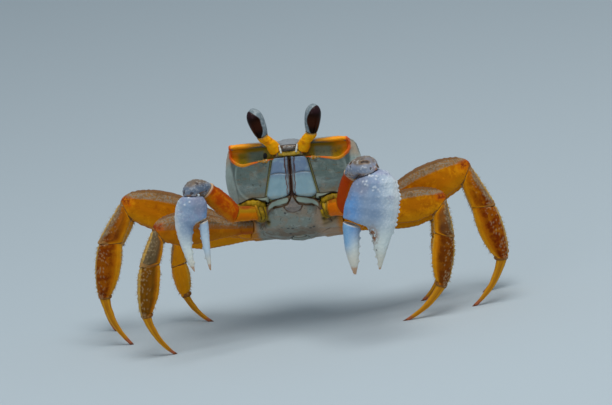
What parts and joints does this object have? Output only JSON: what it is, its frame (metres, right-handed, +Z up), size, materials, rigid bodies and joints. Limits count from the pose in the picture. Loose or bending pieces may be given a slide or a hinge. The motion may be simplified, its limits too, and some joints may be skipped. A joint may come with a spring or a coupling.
{
  "type": "atlantic ghost crab",
  "caption": "Life-size still model of an Atlantic ghost crab standing high on its walking legs, eyes up and both claws hanging in front, the left one larger.",
  "frame": {"origin": "on the ground, under the middle of the box round the whole stance", "axes": "+Z up, the crab faces -Y and its left side is at +X"},
  "size_m": [0.142, 0.0654, 0.0798],
  "materials": {
    "carapace": "satin shell, grey green with orange rims on the orbits",
    "breastplate": "satin shell, pale grey with mauve clouds",
    "mouthparts": "satin shell, pale lavender blue",
    "eyestalk": "smooth yellow orange",
    "eye": "glossy dark brown cornea in a grey sheath",
    "antenna": "satin, straw yellow",
    "arm": "smooth orange with red patches",
    "claw": "smooth pale lavender with cream tips",
    "leg": "satin amber, grey band along the top, pale granules",
    "leg_tip": "satin ochre, ribbed"
  },
  "bodies": {
    "root": {"abdomen": "breastplate", "antenna_left": "antenna", "antenna_right": "antenna", "carapace": "carapace", "claw_left_carpus": "claw", "claw_left_finger": "claw", "claw_left_ischium": "arm", "claw_left_merus": "arm", "claw_left_palm": "claw", "claw_right_carpus": "claw", "claw_right_finger": "claw", "claw_right_ischium": "arm", "claw_right_merus": "arm", "claw_right_palm": "claw", "eye_left": "eye", "eye_right": "eye", "eyestalk_left": "eyestalk", "eyestalk_right": "eyestalk", "leg_left_1_carpus": "leg", "leg_left_1_dactyl": "leg_tip", "leg_left_1_merus": "leg", "leg_left_1_propodus": "leg", "leg_left_2_carpus": "leg", "leg_left_2_dactyl": "leg_tip", "leg_left_2_merus": "leg", "leg_left_2_propodus": "leg", "leg_left_3_carpus": "leg", "leg_left_3_dactyl": "leg_tip", "leg_left_3_merus": "leg", "leg_left_3_propodus": "leg", "leg_left_4_carpus": "leg", "leg_left_4_dactyl": "leg_tip", "leg_left_4_merus": "leg", "leg_left_4_propodus": "leg", "leg_right_1_carpus": "leg", "leg_right_1_dactyl": "leg_tip", "leg_right_1_merus": "leg", "leg_right_1_propodus": "leg", "leg_right_2_carpus": "leg", "leg_right_2_dactyl": "leg_tip", "leg_right_2_merus": "leg", "leg_right_2_propodus": "leg", "leg_right_3_carpus": "leg", "leg_right_3_dactyl": "leg_tip", "leg_right_3_merus": "leg", "leg_right_3_propodus": "leg", "leg_right_4_carpus": "leg", "leg_right_4_dactyl": "leg_tip", "leg_right_4_merus": "leg", "leg_right_4_propodus": "leg", "maxilliped_left": "mouthparts", "maxilliped_right": "mouthparts", "sternum": "breastplate"}
  },
  "joints": []
}
